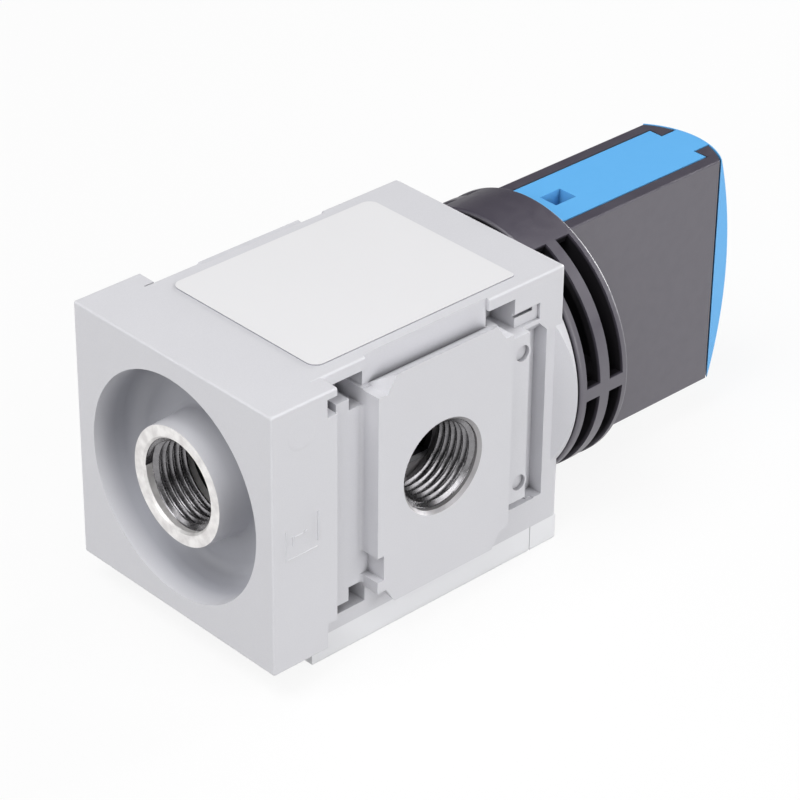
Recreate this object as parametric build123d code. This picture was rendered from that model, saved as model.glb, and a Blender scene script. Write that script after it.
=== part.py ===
"""Modular manual on-off valve: ported die-cast body, cam-driven poppet spindle, slotted knob.

Every shape is drawn about the spindle axis: X is the station, measured from the end
face of the square block towards the knob, Y runs through the two side ports and Z
points to the label side. finish() then moves the origin to the resting face below the
crossing of the spindle axis and the axis of the side ports.
"""

from build123d import *
import math
import os

os.makedirs("parts", exist_ok=True)

# Clearances
fit = 0.05                    # radial, between pieces that are fixed in each other
running = 0.06                # radial, between pieces that turn or slide in each other
slip = 0.05                   # axial, between faces that move against each other
moulding_gap = 0.4            # between the lock slide and the grip around it
knob_gap = 0.5                # between the body's collar face and the knob's drum

# End block and casting
module = 62.0                 # width and height of the square end block
block_length = 14.7
side_sink = 5.0               # side planes of the body inside the block's sides
body_drop = 0.8               # underside of the body below the underside of the block
edge_round = 0.5
ear_round = 1.0

# Connection side, chained from the block to the knob
rib_length = 2.6
rib_low = 24.7                # lower end of the rib below the axis
rib_notch_low = 25.0          # notch through the rib, above the axis
rib_notch_high = 29.2
channel_length = 11.2
channel_round = 0.8
platform_length = 38.0
platform_margin = 7.2         # platform's edge below the top of the block
strip_length = 7.3
strip_drop = 2.5              # pin strip below the platform's face
strip_reach = 20.6            # strip's ends from the axis
groove_length = 7.6
groove_depth = 3.7            # below the side plane
groove_top = 19.6             # above the axis
groove_bottom = 24.3          # below the axis
groove_ramp = 3.9             # height of the slanted upper end
groove_corner = 2.4
ear_length = 5.1              # from the groove to the knob
flare_length = 2.5
ridge_rise = 3.8              # hook ridge above the platform's edge
ridge_inset = 4.9             # from the platform's ends to the ridge
ridge_slope = 2.5             # slanted ends of the ridge
recess_depth = 1.0
pocket_depth = 8.0
pocket_floor = 0.2            # over the platform's ends, above its edge
pocket_roof = 4.4             # above the platform's edge
pocket_left = 7.1             # from the platform to the left pocket's end
pocket_foot = 3.6             # deeper part of the left pocket beside the platform
pocket_overlap = 0.9          # left pocket reaches this far over the platform
pocket_lap = 2.5              # right pocket reaches this far over the platform
pocket_reach = 5.1            # and this far past it
foot_reach = 5.8              # its wider foot past the platform
foot_rise = 0.6               # and above the platform's edge
upper_ledge = 23.1            # ledge and foot of the upper left pocket, above the axis
upper_foot = 20.3
lower_ledge = 26.2            # those of the lower one, below the axis
lower_foot = 22.9
slit_length = 3.0             # narrow pocket behind the rib's notch
slit_depth = 4.0
stair_length = 6.8            # shallow stair beside the right pocket
stair_top = 0.7               # its upper end above the platform's edge
stair_depth = 0.8
stair_groove = 1.5            # height of the deeper groove along its upper end
stair_groove_length = 5.2
stair_groove_depth = 1.6
edge_notch_height = 6.0
edge_notch_low = 21.0         # lower end of the notch below the axis
edge_notch_length = 1.8
pin_hole_radius = 1.9
pin_hole_depth = 1.0
pin_hole_inset = 2.0          # from the groove's edge
pin_hole_spread = 16.1        # above and below the axis
pin_rim = 0.5                 # wall round each hole where it meets the groove

# Pipe ports, half-inch parallel thread
port_radius = 10.48
port_chamfer = 0.72
port_depth = 13.5
port_from_edge = 18.3         # from the platform's end to the port's centre
passage_half_height = 7.0
passage_margin = 0.6          # passage inside the port's footprint

# Round recess of the end block with the exhaust port's boss
dish_rim = 5.0                # wall left between the recess and the block's sides
dish_depth = 11.0
dish_draft = 0.9
dish_round = 4.0
boss_radius = 13.5
boss_draft = 0.6
boss_round = 1.5
boss_setback = 0.9
boss_chamfer = 0.5
exhaust_port_depth = 12.6
exhaust_chamber_length = 12.6  # leaves the thread free of the poppet's screw
exhaust_chamber_radius = 12.0

# Seats and chambers
seat_wall = 4.0
seat_lip_height = 0.8
seat_lip_width = 1.0
exhaust_seat_radius = 6.5
main_seat_radius = 9.0
main_seat_offset = 2.2        # seat face past the port's centre
chamber_shoulder = 3.5        # bonnet's bore wider than the chambers

# Spindle and poppets
lift = 4.5                    # travel of the spindle
turn = 90.0                   # turn of the knob for that travel, degrees
spindle_radius = 4.0
stem_radius = 3.5             # poppet side of the spindle
nose_radius = 2.8             # under the exhaust poppet
seal_thickness = 2.2
seal_bed = 1.5                # depth of a seal's bed in its poppet
seal_lap = 1.5                # seal reaches this far outside the seat's lip
poppet_rim = 1.0              # rim around a seal's bed
main_hub_radius = 6.4
exhaust_hub_radius = 4.4
main_disc = 3.0
main_disc_hub = 2.0
main_back_hub_radius = 7.5
exhaust_disc = 3.2
poppet_ring_thickness = 1.1
poppet_ring_radius = 5.6
ring_groove_depth = 0.5
ring_gap = 60.0               # opening of the retaining rings, degrees
washer_thickness = 1.0
washer_radius = 5.0
screw_radius = 1.5
screw_head_radius = 2.9
screw_head_height = 2.3
screw_length = 9.0
screw_socket_radius = 1.2
pin_radius = 1.75
pin_to_end = 4.0              # from the cross pin to the spindle's end
nose_play = 0.1               # the screw clamps the poppet, not the spindle's end

# Return spring
wire_radius = 0.6
wire_sides = 8
spring_radius = 9.0
spring_turns = 4.0
spring_play = 0.1

# Bonnet
plug_length = 20.5
spring_seat_depth = 2.0
spring_seat_radius = 10.2
bonnet_wall = 5.0
bonnet_flange_play = 1.0      # between the flange and the drum around it
bonnet_flange = 3.0
neck_radius = 14.5
neck_length = 2.5             # past the flange
sleeve_radius = 9.2
pin_groove_reach = 0.3        # groove past the pin's ends
pin_half_length = 11.5
ring_groove_width = 1.2
ring_groove_reach = 1.0
o_ring_radius = 1.0
plug_o_ring_inset = 4.75      # from the plug's inner end
stem_o_ring_inset = 4.3
o_ring_squeeze = 0.05         # groove's floor inside the ring
bonnet_screw_radius = 2.0
bonnet_screw_rim = 0.4        # flange left outside a screw's head
bonnet_screw_wall = 2.75      # body left between a screw and the bonnet's plug
bonnet_screw_head_radius = 3.4
bonnet_screw_head = 2.5
bonnet_screw_length = 12.0
bonnet_screw_play = 1.0       # tapped hole past the screw's end
bonnet_screw_socket = 1.5

# Cam sleeve
thrust_washer_thickness = 1.0
thrust_washer_bore = 5.0
sleeve_bore = 5.5
sleeve_length = 15.45
sleeve_floor = 0.5
hub_radius = 7.5
hub_flat = 6.0                # half the width across the hub's flats
pin_station = 7.0             # cross pin from the bonnet's inner wall

# Knob
drum_overhang = 0.5           # drum wider than the collar
drum_wall = 2.5
drum_length = 14.7
drum_end = 1.7
drum_round = 0.8
knob_seat = 3.5               # wall between the hub and the grip
knob_boss_radius = 12.0
knob_boss_play = 0.5
knob_rib = 2.0
knob_rib_count = 4
knob_rib_inset = 1.0
knob_rib_root = 1.0           # rib's ends inside the boss and the drum's wall
slot_length = 4.1
slot_web = 2.85               # web between the two rows
slot_inset = 1.8              # from the drum's end face
slot_half_web = 2.8           # degrees, beside each side web
slot_end = 64.4               # degrees
knob_screw_radius = 2.0
knob_screw_head = 4.0
knob_screw_length = 10.5
grip_half_width = 12.1
grip_wall = 3.1
grip_step = 3.3               # grip's edges inside the drum's rim
grip_drop = 0.8               # grip's lower edge further from the axis than its upper edge
grip_reach = 52.8             # from the drum's end face to the slide's front corner
grip_round = 20.0
grip_edge = 0.5
cap_corner = 0.5              # slide's end cap in front of the grip's lips
lip_thickness = 4.0
lip_half_gap = 5.3            # half the gap between the two lips
web_thickness = 2.0

# Lock slide
slide_travel = 14.0
cap_bulge = 4.0
notch_length = 6.2
notch_half_width = 2.5
notch_depth = 6.5
notch_inset = 5.6
lock_hole_radius = 3.5
lock_hole_count = 3
lock_hole_pitch = 11.0
lock_hole_first = 18.0        # from the drum's end face
slide_wall = 2.0
slide_bar = 16.0              # solid upper part that the lock holes pass
slide_rib = 1.5
lug_station = 22.0
lug_length = 6.0
lug_height = 4.0
lug_depth = 1.0
lug_low = 12.0                # lower face of the lug below the axis

# Label and back cover
label_length = 56.15
label_margin = 3.5            # from the body's side planes
label_inset = 4.2             # from the end block
label_thickness = 0.3
label_corner = 2.5
label_small_corner = 1.0      # the corner next to the knob and the -Y side
cover_height = 6.6
cover_wall = 2.0
cover_joint = 63.7            # from the end block to the joint line
cover_joint_gap = 0.2
cover_end_inset = 0.2
cover_round = 1.0
cover_rib = 1.5
cover_rib_count = 4

# Stations and levels that follow from the sizes above
half = module / 2
side = half - side_sink
dish_radius = half - dish_rim
drum_radius = half + drum_overhang
drum_inner = drum_radius - drum_wall
grip_half_height = drum_radius - grip_step
grip_low = grip_half_height + grip_drop
bonnet_flange_radius = drum_inner - bonnet_flange_play
bonnet_screw_circle = bonnet_flange_radius - bonnet_screw_rim - bonnet_screw_head_radius
plug_radius = bonnet_screw_circle - bonnet_screw_radius - bonnet_screw_wall
bore_radius = plug_radius + fit
chamber_radius = bore_radius - chamber_shoulder
rib_x = block_length + rib_length
platform_x0 = rib_x + channel_length
platform_x1 = platform_x0 + platform_length
strip_x1 = platform_x1 + strip_length
groove_x1 = strip_x1 + groove_length
collar_x = groove_x1 + ear_length
port_x = platform_x0 + port_from_edge
platform_z = half - platform_margin
ridge_z = platform_z + ridge_rise
pocket_z0 = platform_z + pocket_floor
pocket_z1 = platform_z + pocket_roof
left_pocket_x = platform_x0 - pocket_left
right_pocket_x = platform_x1 - pocket_lap
strip_y = half - strip_drop
body_floor = -half - body_drop
rest_z = body_floor - cover_height

exhaust_thread_x = boss_setback + exhaust_port_depth
exhaust_seat_x = exhaust_thread_x + exhaust_chamber_length
main_seat_x = port_x + main_seat_offset
plug_x = collar_x - plug_length
bonnet_wall_x = plug_x + spring_seat_depth
sleeve_room_x = bonnet_wall_x + bonnet_wall
flange_x = collar_x + bonnet_flange
neck_x = flange_x + neck_length
pin_x = sleeve_room_x + pin_station
sleeve_x0 = sleeve_room_x + thrust_washer_thickness + slip
sleeve_x1 = sleeve_x0 + sleeve_length
retaining_x = sleeve_x1 + slip
spindle_x1 = pin_x + pin_to_end
sleeve_bore_x = spindle_x1 + lift + sleeve_floor

drum_x0 = collar_x + knob_gap
drum_x1 = drum_x0 + drum_length
hub_x1 = drum_x1 - knob_seat
grip_cavity = grip_half_width - grip_wall
slide_half_width = grip_cavity - moulding_gap
cap_x = drum_x1 + grip_reach
round_x = cap_x - grip_round
lip_round = grip_round - cap_corner
lip_x = cap_x - cap_corner - lip_thickness - (lip_round - math.sqrt(lip_round**2 - lip_half_gap**2))

exhaust_seal_face = exhaust_seat_x - lift - slip
exhaust_shoulder = exhaust_seal_face - seal_thickness + seal_bed
exhaust_poppet_x0 = exhaust_shoulder - exhaust_disc
main_front = main_seat_x + seal_thickness - seal_bed
main_back = main_front + main_disc


def bar(x0, x1, y0, y1, z0, z1):
    """A block between two corners."""
    middle = Pos((x0 + x1) / 2, (y0 + y1) / 2, (z0 + z1) / 2)
    return middle * Box(x1 - x0, y1 - y0, z1 - z0)


def rod(radius, x0, x1, y=0.0, z=0.0):
    """A cylinder along X."""
    return Pos((x0 + x1) / 2, y, z) * Rot(0, 90, 0) * Cylinder(radius, x1 - x0)


def cross_rod(radius, y0, y1, x, z=0.0):
    """A cylinder along Y."""
    return Pos(x, (y0 + y1) / 2, z) * Rot(90, 0, 0) * Cylinder(radius, y1 - y0)


def turned(points):
    """A solid of revolution about the spindle axis from (station, radius) points."""
    return revolve(make_face(Polyline(*points, close=True)), Axis.X)


def plan(points, z0, z1):
    """A prism between two heights over (station, y) points."""
    face = make_face(Polyline(*points, close=True))
    return Pos(0, 0, z0) * extrude(face, z1 - z0, dir=(0, 0, 1))


def both_sides(shape):
    """A shape and its mirror image at the other connection side."""
    return shape + mirror(shape, Plane.XZ)


def sector_face(inner, outer, start, end):
    """A slice of a ring, angles in degrees from +Y towards +Z."""
    first, last = math.radians(start), math.radians(end)
    middle = (first + last) / 2

    def point(radius, angle):
        return (radius * math.cos(angle), radius * math.sin(angle))

    return make_face(
        [
            ThreePointArc(point(outer, first), point(outer, middle), point(outer, last)),
            Line(point(outer, last), point(inner, last)),
            ThreePointArc(point(inner, last), point(inner, middle), point(inner, first)),
            Line(point(inner, first), point(outer, first)),
        ]
    )


def sector(inner, outer, start, end, x0, x1):
    """The same slice as a solid between two stations."""
    face = Plane.YZ.offset(x0) * sector_face(inner, outer, start, end)
    return extrude(face, x1 - x0, dir=(1, 0, 0))


def open_ring(inner, outer, x0, x1):
    """A retaining ring with its gap on the -Z side."""
    return sector(inner, outer, ring_gap / 2 - 90, 270 - ring_gap / 2, x0, x1)


def connection_platform():
    """Raised face around a side port with its two hook ridges, on the +Y side."""
    body = bar(platform_x0, platform_x1, side, half, -platform_z, platform_z)
    corner = (platform_x0, side)
    centre = (platform_x0 - channel_round, side + channel_round)
    reach = channel_round * math.sqrt(0.5)
    cove = make_face(
        [
            Line((centre[0], corner[1]), corner),
            Line(corner, (corner[0], centre[1])),
            ThreePointArc(
                (corner[0], centre[1]),
                (centre[0] + reach, centre[1] - reach),
                (centre[0], corner[1]),
            ),
        ]
    )
    body += Pos(0, 0, -platform_z) * extrude(cove, 2 * platform_z, dir=(0, 0, 1))

    ridge_foot = platform_z - ridge_rise
    wedge = Polyline(
        (side - recess_depth, ridge_foot),
        (half, ridge_foot),
        (half, ridge_z),
        (side - recess_depth, pocket_z0),
        close=True,
    )
    ridge = extrude(Plane.YZ.offset(platform_x0) * make_face(wedge), platform_length, dir=(1, 0, 0))
    ends = Polyline(
        (platform_x0 + ridge_inset, -ridge_z),
        (platform_x0 + ridge_inset - ridge_slope, -platform_z),
        (platform_x0 + ridge_inset - ridge_slope, platform_z),
        (platform_x0 + ridge_inset, ridge_z),
        (platform_x1 - ridge_inset, ridge_z),
        (platform_x1 - ridge_inset + ridge_slope, platform_z),
        (platform_x1 - ridge_inset + ridge_slope, -platform_z),
        (platform_x1 - ridge_inset, -ridge_z),
        close=True,
    )
    outline = extrude(Plane.XZ * make_face(ends), half, dir=(0, 1, 0))
    ridges = (ridge + mirror(ridge, Plane.XY)) & outline
    return body + ridges


def upper_recess():
    """Long shallow recess above the platform, between the two pockets of the +Y side."""
    return bar(
        platform_x0 + pocket_overlap,
        right_pocket_x,
        side - recess_depth,
        half,
        pocket_z0,
        half,
    )


def hook_pockets():
    """Stepped pockets around the platform's four corners, on the +Y side."""
    tongue_x = platform_x0 - pocket_foot
    cuts = bar(
        left_pocket_x - slit_length,
        left_pocket_x,
        side - slit_depth,
        side,
        upper_foot,
        pocket_z1,
    )
    for sign, ledge, foot in ((1, upper_ledge, upper_foot), (-1, lower_ledge, lower_foot)):
        parts = [
            (left_pocket_x, tongue_x, ledge, pocket_z1),
            (tongue_x, platform_x0, foot, pocket_z1),
            (platform_x0, platform_x0 + pocket_overlap, pocket_z0, pocket_z1),
            (right_pocket_x, platform_x1 + pocket_reach, pocket_z0, pocket_z1),
            (platform_x1, platform_x1 + foot_reach, strip_reach, platform_z + foot_rise),
        ]
        for x0, x1, near_z, far_z in parts:
            low, high = sorted((sign * near_z, sign * far_z))
            cuts += bar(x0, x1, side - pocket_depth, half, low, high)
    return cuts


def stair_cut():
    """Shallow stair beside the upper right pocket, on the +Y side."""
    x0 = platform_x1 + foot_reach
    top = platform_z + stair_top
    shallow = bar(x0, x0 + stair_length, side - stair_depth, half, strip_reach, top)
    deep = bar(x0, x0 + stair_groove_length, side - stair_groove_depth, half, top - stair_groove, top)
    return shallow + deep


def at_pins(radius, y0, y1):
    """Rods at the two pin holes of the +Y side."""
    x = strip_x1 - pin_hole_inset
    return cross_rod(radius, y0, y1, x, pin_hole_spread) + cross_rod(radius, y0, y1, x, -pin_hole_spread)


def pin_groove():
    """Groove between the pin strip and the ear, with a slanted upper end."""
    outline = Polyline(
        (strip_x1, -groove_bottom),
        (groove_x1, -groove_bottom),
        (groove_x1, groove_top - groove_corner),
        (groove_x1 - groove_corner, groove_top),
        (strip_x1, groove_top),
        close=True,
    )
    section = Polyline(
        (side - groove_depth, -groove_bottom),
        (side - groove_depth, groove_top - groove_ramp),
        (side, groove_top),
        (half, groove_top),
        (half, -groove_bottom),
        close=True,
    )
    prism = extrude(Plane.XZ * make_face(outline), half, dir=(0, 1, 0))
    groove = prism & extrude(Plane.YZ.offset(strip_x1) * make_face(section), groove_length, dir=(1, 0, 0))
    return groove - at_pins(pin_hole_radius + pin_rim, side - groove_depth, half)


def connection_cuts():
    """Everything cut into the +Y side after its raised parts are on."""
    cuts = hook_pockets() + stair_cut() + mirror(stair_cut(), Plane.XY) + pin_groove()
    cuts += bar(block_length, rib_x, side, half, rib_notch_low, rib_notch_high)
    cuts += bar(
        platform_x0 - channel_round,
        platform_x0 + edge_notch_length,
        side,
        half,
        -edge_notch_low,
        edge_notch_height - edge_notch_low,
    )
    return cuts + at_pins(pin_hole_radius, strip_y - pin_hole_depth, strip_y)


def port_cut():
    """Threaded side port on the +Y side with its chamfer."""
    hole = cross_rod(port_radius, half - port_depth, half, port_x)
    mouth = Pos(port_x, half - port_chamfer / 2, 0) * Rot(-90, 0, 0) * Cone(
        port_radius, port_radius + port_chamfer, port_chamfer
    )
    return hole + mouth


def dish_cut():
    """Round recess around the exhaust port's boss."""
    wall_r = dish_radius - dish_draft
    foot_r = boss_radius + boss_draft
    bend = math.sqrt(0.5)
    edges = [
        Line((0, boss_radius), (0, dish_radius)),
        Line((0, dish_radius), (dish_depth - dish_round, wall_r)),
        ThreePointArc(
            (dish_depth - dish_round, wall_r),
            (dish_depth - dish_round + dish_round * bend, wall_r - dish_round + dish_round * bend),
            (dish_depth, wall_r - dish_round),
        ),
        Line((dish_depth, wall_r - dish_round), (dish_depth, foot_r + boss_round)),
        ThreePointArc(
            (dish_depth, foot_r + boss_round),
            (dish_depth - boss_round + boss_round * bend, foot_r + boss_round - boss_round * bend),
            (dish_depth - boss_round, foot_r),
        ),
        Line((dish_depth - boss_round, foot_r), (0, boss_radius)),
    ]
    return revolve(make_face(edges), Axis.X) + rod(foot_r, 0, boss_setback)


def inner_cuts():
    """Ports, chambers, seats and the bonnet's bore along the spindle axis."""
    exhaust_mouth = port_radius + boss_chamfer
    lip_in = seat_lip_height
    exhaust_lip = exhaust_seat_radius + seat_lip_width
    main_lip = main_seat_radius + seat_lip_width
    main_wall_x = main_seat_x - seat_wall
    outlet_x = exhaust_seat_x + seat_wall
    return turned(
        [
            (boss_setback, 0),
            (boss_setback, exhaust_mouth),
            (boss_setback + boss_chamfer, port_radius),
            (exhaust_thread_x, port_radius),
            (exhaust_thread_x, exhaust_chamber_radius),
            (exhaust_seat_x + lip_in, exhaust_chamber_radius),
            (exhaust_seat_x + lip_in, exhaust_lip),
            (exhaust_seat_x, exhaust_lip),
            (exhaust_seat_x, exhaust_seat_radius),
            (outlet_x, exhaust_seat_radius),
            (outlet_x, chamber_radius),
            (main_wall_x, chamber_radius),
            (main_wall_x, main_seat_radius),
            (main_seat_x, main_seat_radius),
            (main_seat_x, main_lip),
            (main_seat_x - lip_in, main_lip),
            (main_seat_x - lip_in, chamber_radius),
            (plug_x, chamber_radius),
            (plug_x, bore_radius),
            (collar_x, bore_radius),
            (collar_x, 0),
        ]
    )


def bonnet_screw_places():
    """Centres of the bonnet's four screws as (y, z)."""
    reach = bonnet_screw_circle * math.sqrt(0.5)
    return [(y, z) for y in (-reach, reach) for z in (-reach, reach)]


def valve_body():
    """Die-cast housing with end block, connection sides, chambers and collar."""
    block = bar(0, block_length, -half, half, -half, half)
    front = block.edges().filter_by_position(Axis.X, 0, 0)
    block = fillet(front + block.edges().filter_by(Axis.X), edge_round)

    trunk = bar(block_length, collar_x, -side, side, body_floor, half)
    top = trunk.edges().group_by(Axis.Z)[-1]
    trunk = fillet(top.filter_by(Axis.X), edge_round)
    trunk = fillet(trunk.edges().filter_by(Axis.Z).group_by(Axis.X)[-1], ear_round)

    flare_z = (half + math.sqrt(half**2 - side**2)) / 2
    flare = plan(
        [
            (collar_x - flare_length, -side),
            (collar_x, -half),
            (collar_x, half),
            (collar_x - flare_length, side),
        ],
        -flare_z,
        flare_z,
    )
    collar = flare & rod(half, collar_x - flare_length, collar_x)

    rib = bar(block_length, rib_x, side, half, -rib_low, half)
    rib_edge = rib.edges().filter_by(Axis.X).group_by(Axis.Z)[-1].sort_by(Axis.Y)[-1]
    rib = fillet(rib_edge, edge_round)
    strip = bar(platform_x1, strip_x1, side, strip_y, -strip_reach, strip_reach)
    strip += at_pins(pin_hole_radius + pin_rim, side, strip_y)
    sides = both_sides(rib + strip + connection_platform())

    body = block + (trunk - both_sides(upper_recess())) + collar + sides
    body -= both_sides(connection_cuts())
    body -= both_sides(port_cut())
    body -= dish_cut()
    body -= inner_cuts()

    inlet = bar(
        main_seat_x,
        port_x + port_radius - passage_margin,
        -half + port_depth,
        0,
        -passage_half_height,
        passage_half_height,
    )
    outlet = bar(
        port_x - port_radius + passage_margin,
        main_seat_x - seat_wall,
        0,
        half - port_depth,
        -passage_half_height,
        passage_half_height,
    )
    body -= inlet + outlet
    screw_end_x = flange_x - bonnet_screw_length - bonnet_screw_play
    for y, z in bonnet_screw_places():
        body -= rod(bonnet_screw_radius + fit, screw_end_x, collar_x, y, z)
    return body


def label_plate():
    """Thin rounded plate on the front, with one smaller corner."""

    def towards_knob(edge):
        return edge.center().X - edge.center().Y

    x0 = block_length + label_inset
    half_width = side - label_margin
    plate = bar(x0, x0 + label_length, -half_width, half_width, half, half + label_thickness)
    plate = fillet(plate.edges().filter_by(Axis.Z).sort_by(towards_knob)[:-1], label_corner)
    return fillet(plate.edges().filter_by(Axis.Z).sort_by(towards_knob)[-1], label_small_corner)


def cover_tray(x0, x1, rib_count):
    """Open tray of the back cover, with its open side against the body."""
    tray = bar(x0, x1, -side, side, rest_z, body_floor)
    tray = fillet(tray.edges().group_by(Axis.Z)[0], cover_round)
    tray -= bar(
        x0 + cover_wall,
        x1 - cover_wall,
        cover_wall - side,
        side - cover_wall,
        rest_z + cover_wall,
        body_floor,
    )
    step = (x1 - x0) / (rib_count + 1)
    for index in range(rib_count):
        middle = x0 + step * (index + 1)
        tray += bar(
            middle - cover_rib / 2,
            middle + cover_rib / 2,
            cover_wall - side,
            side - cover_wall,
            rest_z + cover_wall,
            body_floor,
        )
    return tray


def bonnet():
    """Plug that closes the body's bore, guides the spindle and holds the cam sleeve."""
    stem_bore = spindle_radius + running
    sleeve_room = sleeve_radius + running
    plug_groove_x = plug_x + plug_o_ring_inset
    stem_groove_x = plug_x + stem_o_ring_inset
    plug_floor = bore_radius - 2 * o_ring_radius - o_ring_squeeze - fit
    stem_floor = stem_bore + 2 * o_ring_radius + o_ring_squeeze
    half_groove = o_ring_radius + o_ring_squeeze
    ring_outer = sleeve_room + ring_groove_reach
    shape = turned(
        [
            (plug_x, spring_seat_radius),
            (plug_x, plug_radius),
            (plug_groove_x - half_groove, plug_radius),
            (plug_groove_x - half_groove, plug_floor),
            (plug_groove_x + half_groove, plug_floor),
            (plug_groove_x + half_groove, plug_radius),
            (collar_x, plug_radius),
            (collar_x, bonnet_flange_radius),
            (flange_x, bonnet_flange_radius),
            (flange_x, neck_radius),
            (neck_x, neck_radius),
            (neck_x, sleeve_room),
            (retaining_x + ring_groove_width, sleeve_room),
            (retaining_x + ring_groove_width, ring_outer),
            (retaining_x, ring_outer),
            (retaining_x, sleeve_room),
            (sleeve_room_x, sleeve_room),
            (sleeve_room_x, stem_bore),
            (stem_groove_x + half_groove, stem_bore),
            (stem_groove_x + half_groove, stem_floor),
            (stem_groove_x - half_groove, stem_floor),
            (stem_groove_x - half_groove, stem_bore),
            (bonnet_wall_x, stem_bore),
            (bonnet_wall_x, spring_seat_radius),
        ]
    )
    reach = pin_half_length + pin_groove_reach
    groove = pin_radius + running
    shape -= bar(pin_x - groove, neck_x, -reach, reach, -groove, groove)
    for y, z in bonnet_screw_places():
        shape -= rod(bonnet_screw_radius + fit, collar_x, flange_x, y, z)
    return shape


def bonnet_screws():
    """Four cap screws that hold the bonnet on the collar."""
    head_x = flange_x + bonnet_screw_head
    screws = []
    for y, z in bonnet_screw_places():
        screw = rod(bonnet_screw_radius, flange_x - bonnet_screw_length, flange_x, y, z)
        screw += rod(bonnet_screw_head_radius, flange_x, head_x, y, z)
        screw -= rod(bonnet_screw_socket, head_x - bonnet_screw_socket, head_x, y, z)
        screws.append(screw)
    return screws


def o_ring(centre_radius, station):
    """Rubber ring about the spindle axis."""
    return Pos(station, 0, 0) * Rot(0, 90, 0) * Torus(centre_radius, o_ring_radius)


def spindle():
    """Stepped rod that carries both poppets and the cross pin."""
    tip_x = exhaust_poppet_x0 + nose_play
    ring_x = main_front - poppet_ring_thickness
    ring_floor = stem_radius - ring_groove_depth
    tapped_x = tip_x + screw_length
    shape = turned(
        [
            (tapped_x, 0),
            (tapped_x, screw_radius + fit),
            (tip_x, screw_radius + fit),
            (tip_x, nose_radius),
            (exhaust_shoulder, nose_radius),
            (exhaust_shoulder, stem_radius),
            (ring_x, stem_radius),
            (ring_x, ring_floor),
            (main_front, ring_floor),
            (main_front, stem_radius),
            (main_back, stem_radius),
            (main_back, spindle_radius),
            (spindle_x1, spindle_radius),
            (spindle_x1, 0),
        ]
    )
    return shape - cross_rod(pin_radius + fit, -spindle_radius, spindle_radius, pin_x)


def drive_pin():
    """Cross pin of the spindle, in the cam slots and the bonnet's straight grooves."""
    return cross_rod(pin_radius, -pin_half_length, pin_half_length, pin_x)


def main_poppet():
    """Disc that closes the way from the inlet chamber, with the bed of its seal."""
    bed_outer = main_seat_radius + seat_lip_width + seal_lap + fit
    rim = bed_outer + poppet_rim
    bed_x = main_front + seal_bed
    hub_x = main_back + main_disc_hub
    return turned(
        [
            (main_front, stem_radius + fit),
            (main_front, main_hub_radius),
            (bed_x, main_hub_radius),
            (bed_x, bed_outer),
            (main_front, bed_outer),
            (main_front, rim),
            (main_back, rim),
            (main_back, main_back_hub_radius),
            (hub_x, main_back_hub_radius),
            (hub_x, spindle_radius + fit),
            (main_back, spindle_radius + fit),
            (main_back, stem_radius + fit),
        ]
    )


def main_seal():
    """Rubber ring in the main poppet, resting on the main seat."""
    outer = main_seat_radius + seat_lip_width + seal_lap
    inner = main_hub_radius + fit
    return rod(outer, main_seat_x, main_seat_x + seal_thickness) - rod(
        inner, main_seat_x, main_seat_x + seal_thickness
    )


def poppet_ring():
    """Open retaining ring that holds the main poppet against the spindle's shoulder."""
    inner = stem_radius - ring_groove_depth + fit
    return open_ring(inner, poppet_ring_radius, main_front - poppet_ring_thickness, main_front)


def exhaust_poppet():
    """Disc that closes the way to the exhaust port, with the bed of its seal."""
    bed_outer = exhaust_seat_radius + seat_lip_width + seal_lap - poppet_rim + fit
    rim = bed_outer + poppet_rim / 2
    bed_x = exhaust_shoulder - seal_bed
    return turned(
        [
            (exhaust_poppet_x0, nose_radius + fit),
            (exhaust_poppet_x0, rim),
            (exhaust_shoulder, rim),
            (exhaust_shoulder, bed_outer),
            (bed_x, bed_outer),
            (bed_x, exhaust_hub_radius),
            (exhaust_shoulder, exhaust_hub_radius),
            (exhaust_shoulder, nose_radius + fit),
        ]
    )


def exhaust_seal():
    """Rubber ring in the exhaust poppet."""
    outer = exhaust_seat_radius + seat_lip_width + seal_lap - poppet_rim
    x0 = exhaust_seal_face - seal_thickness
    return rod(outer, x0, exhaust_seal_face) - rod(exhaust_hub_radius + fit, x0, exhaust_seal_face)


def poppet_washer():
    """Washer under the exhaust poppet's screw."""
    x0 = exhaust_poppet_x0 - washer_thickness
    return rod(washer_radius, x0, exhaust_poppet_x0) - rod(screw_radius + fit, x0, exhaust_poppet_x0)


def poppet_screw():
    """Screw that clamps the exhaust poppet on the spindle."""
    seat_x = exhaust_poppet_x0 - washer_thickness
    head_x = seat_x - screw_head_height
    screw = rod(screw_head_radius, head_x, seat_x)
    screw += rod(screw_radius, seat_x, seat_x + screw_length)
    return screw - rod(screw_socket_radius, head_x, head_x + screw_socket_radius)


def return_spring():
    """Compression spring that pushes the spindle to its closed place."""
    start = main_back + wire_radius + spring_play
    height = bonnet_wall_x - wire_radius - spring_play - start
    path = Helix(height / spring_turns, height, spring_radius, center=(start, 0, 0), direction=(1, 0, 0))
    section = Plane(path @ 0, z_dir=path % 0) * RegularPolygon(wire_radius, wire_sides)
    return sweep(section, path, is_frenet=True)


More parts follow.
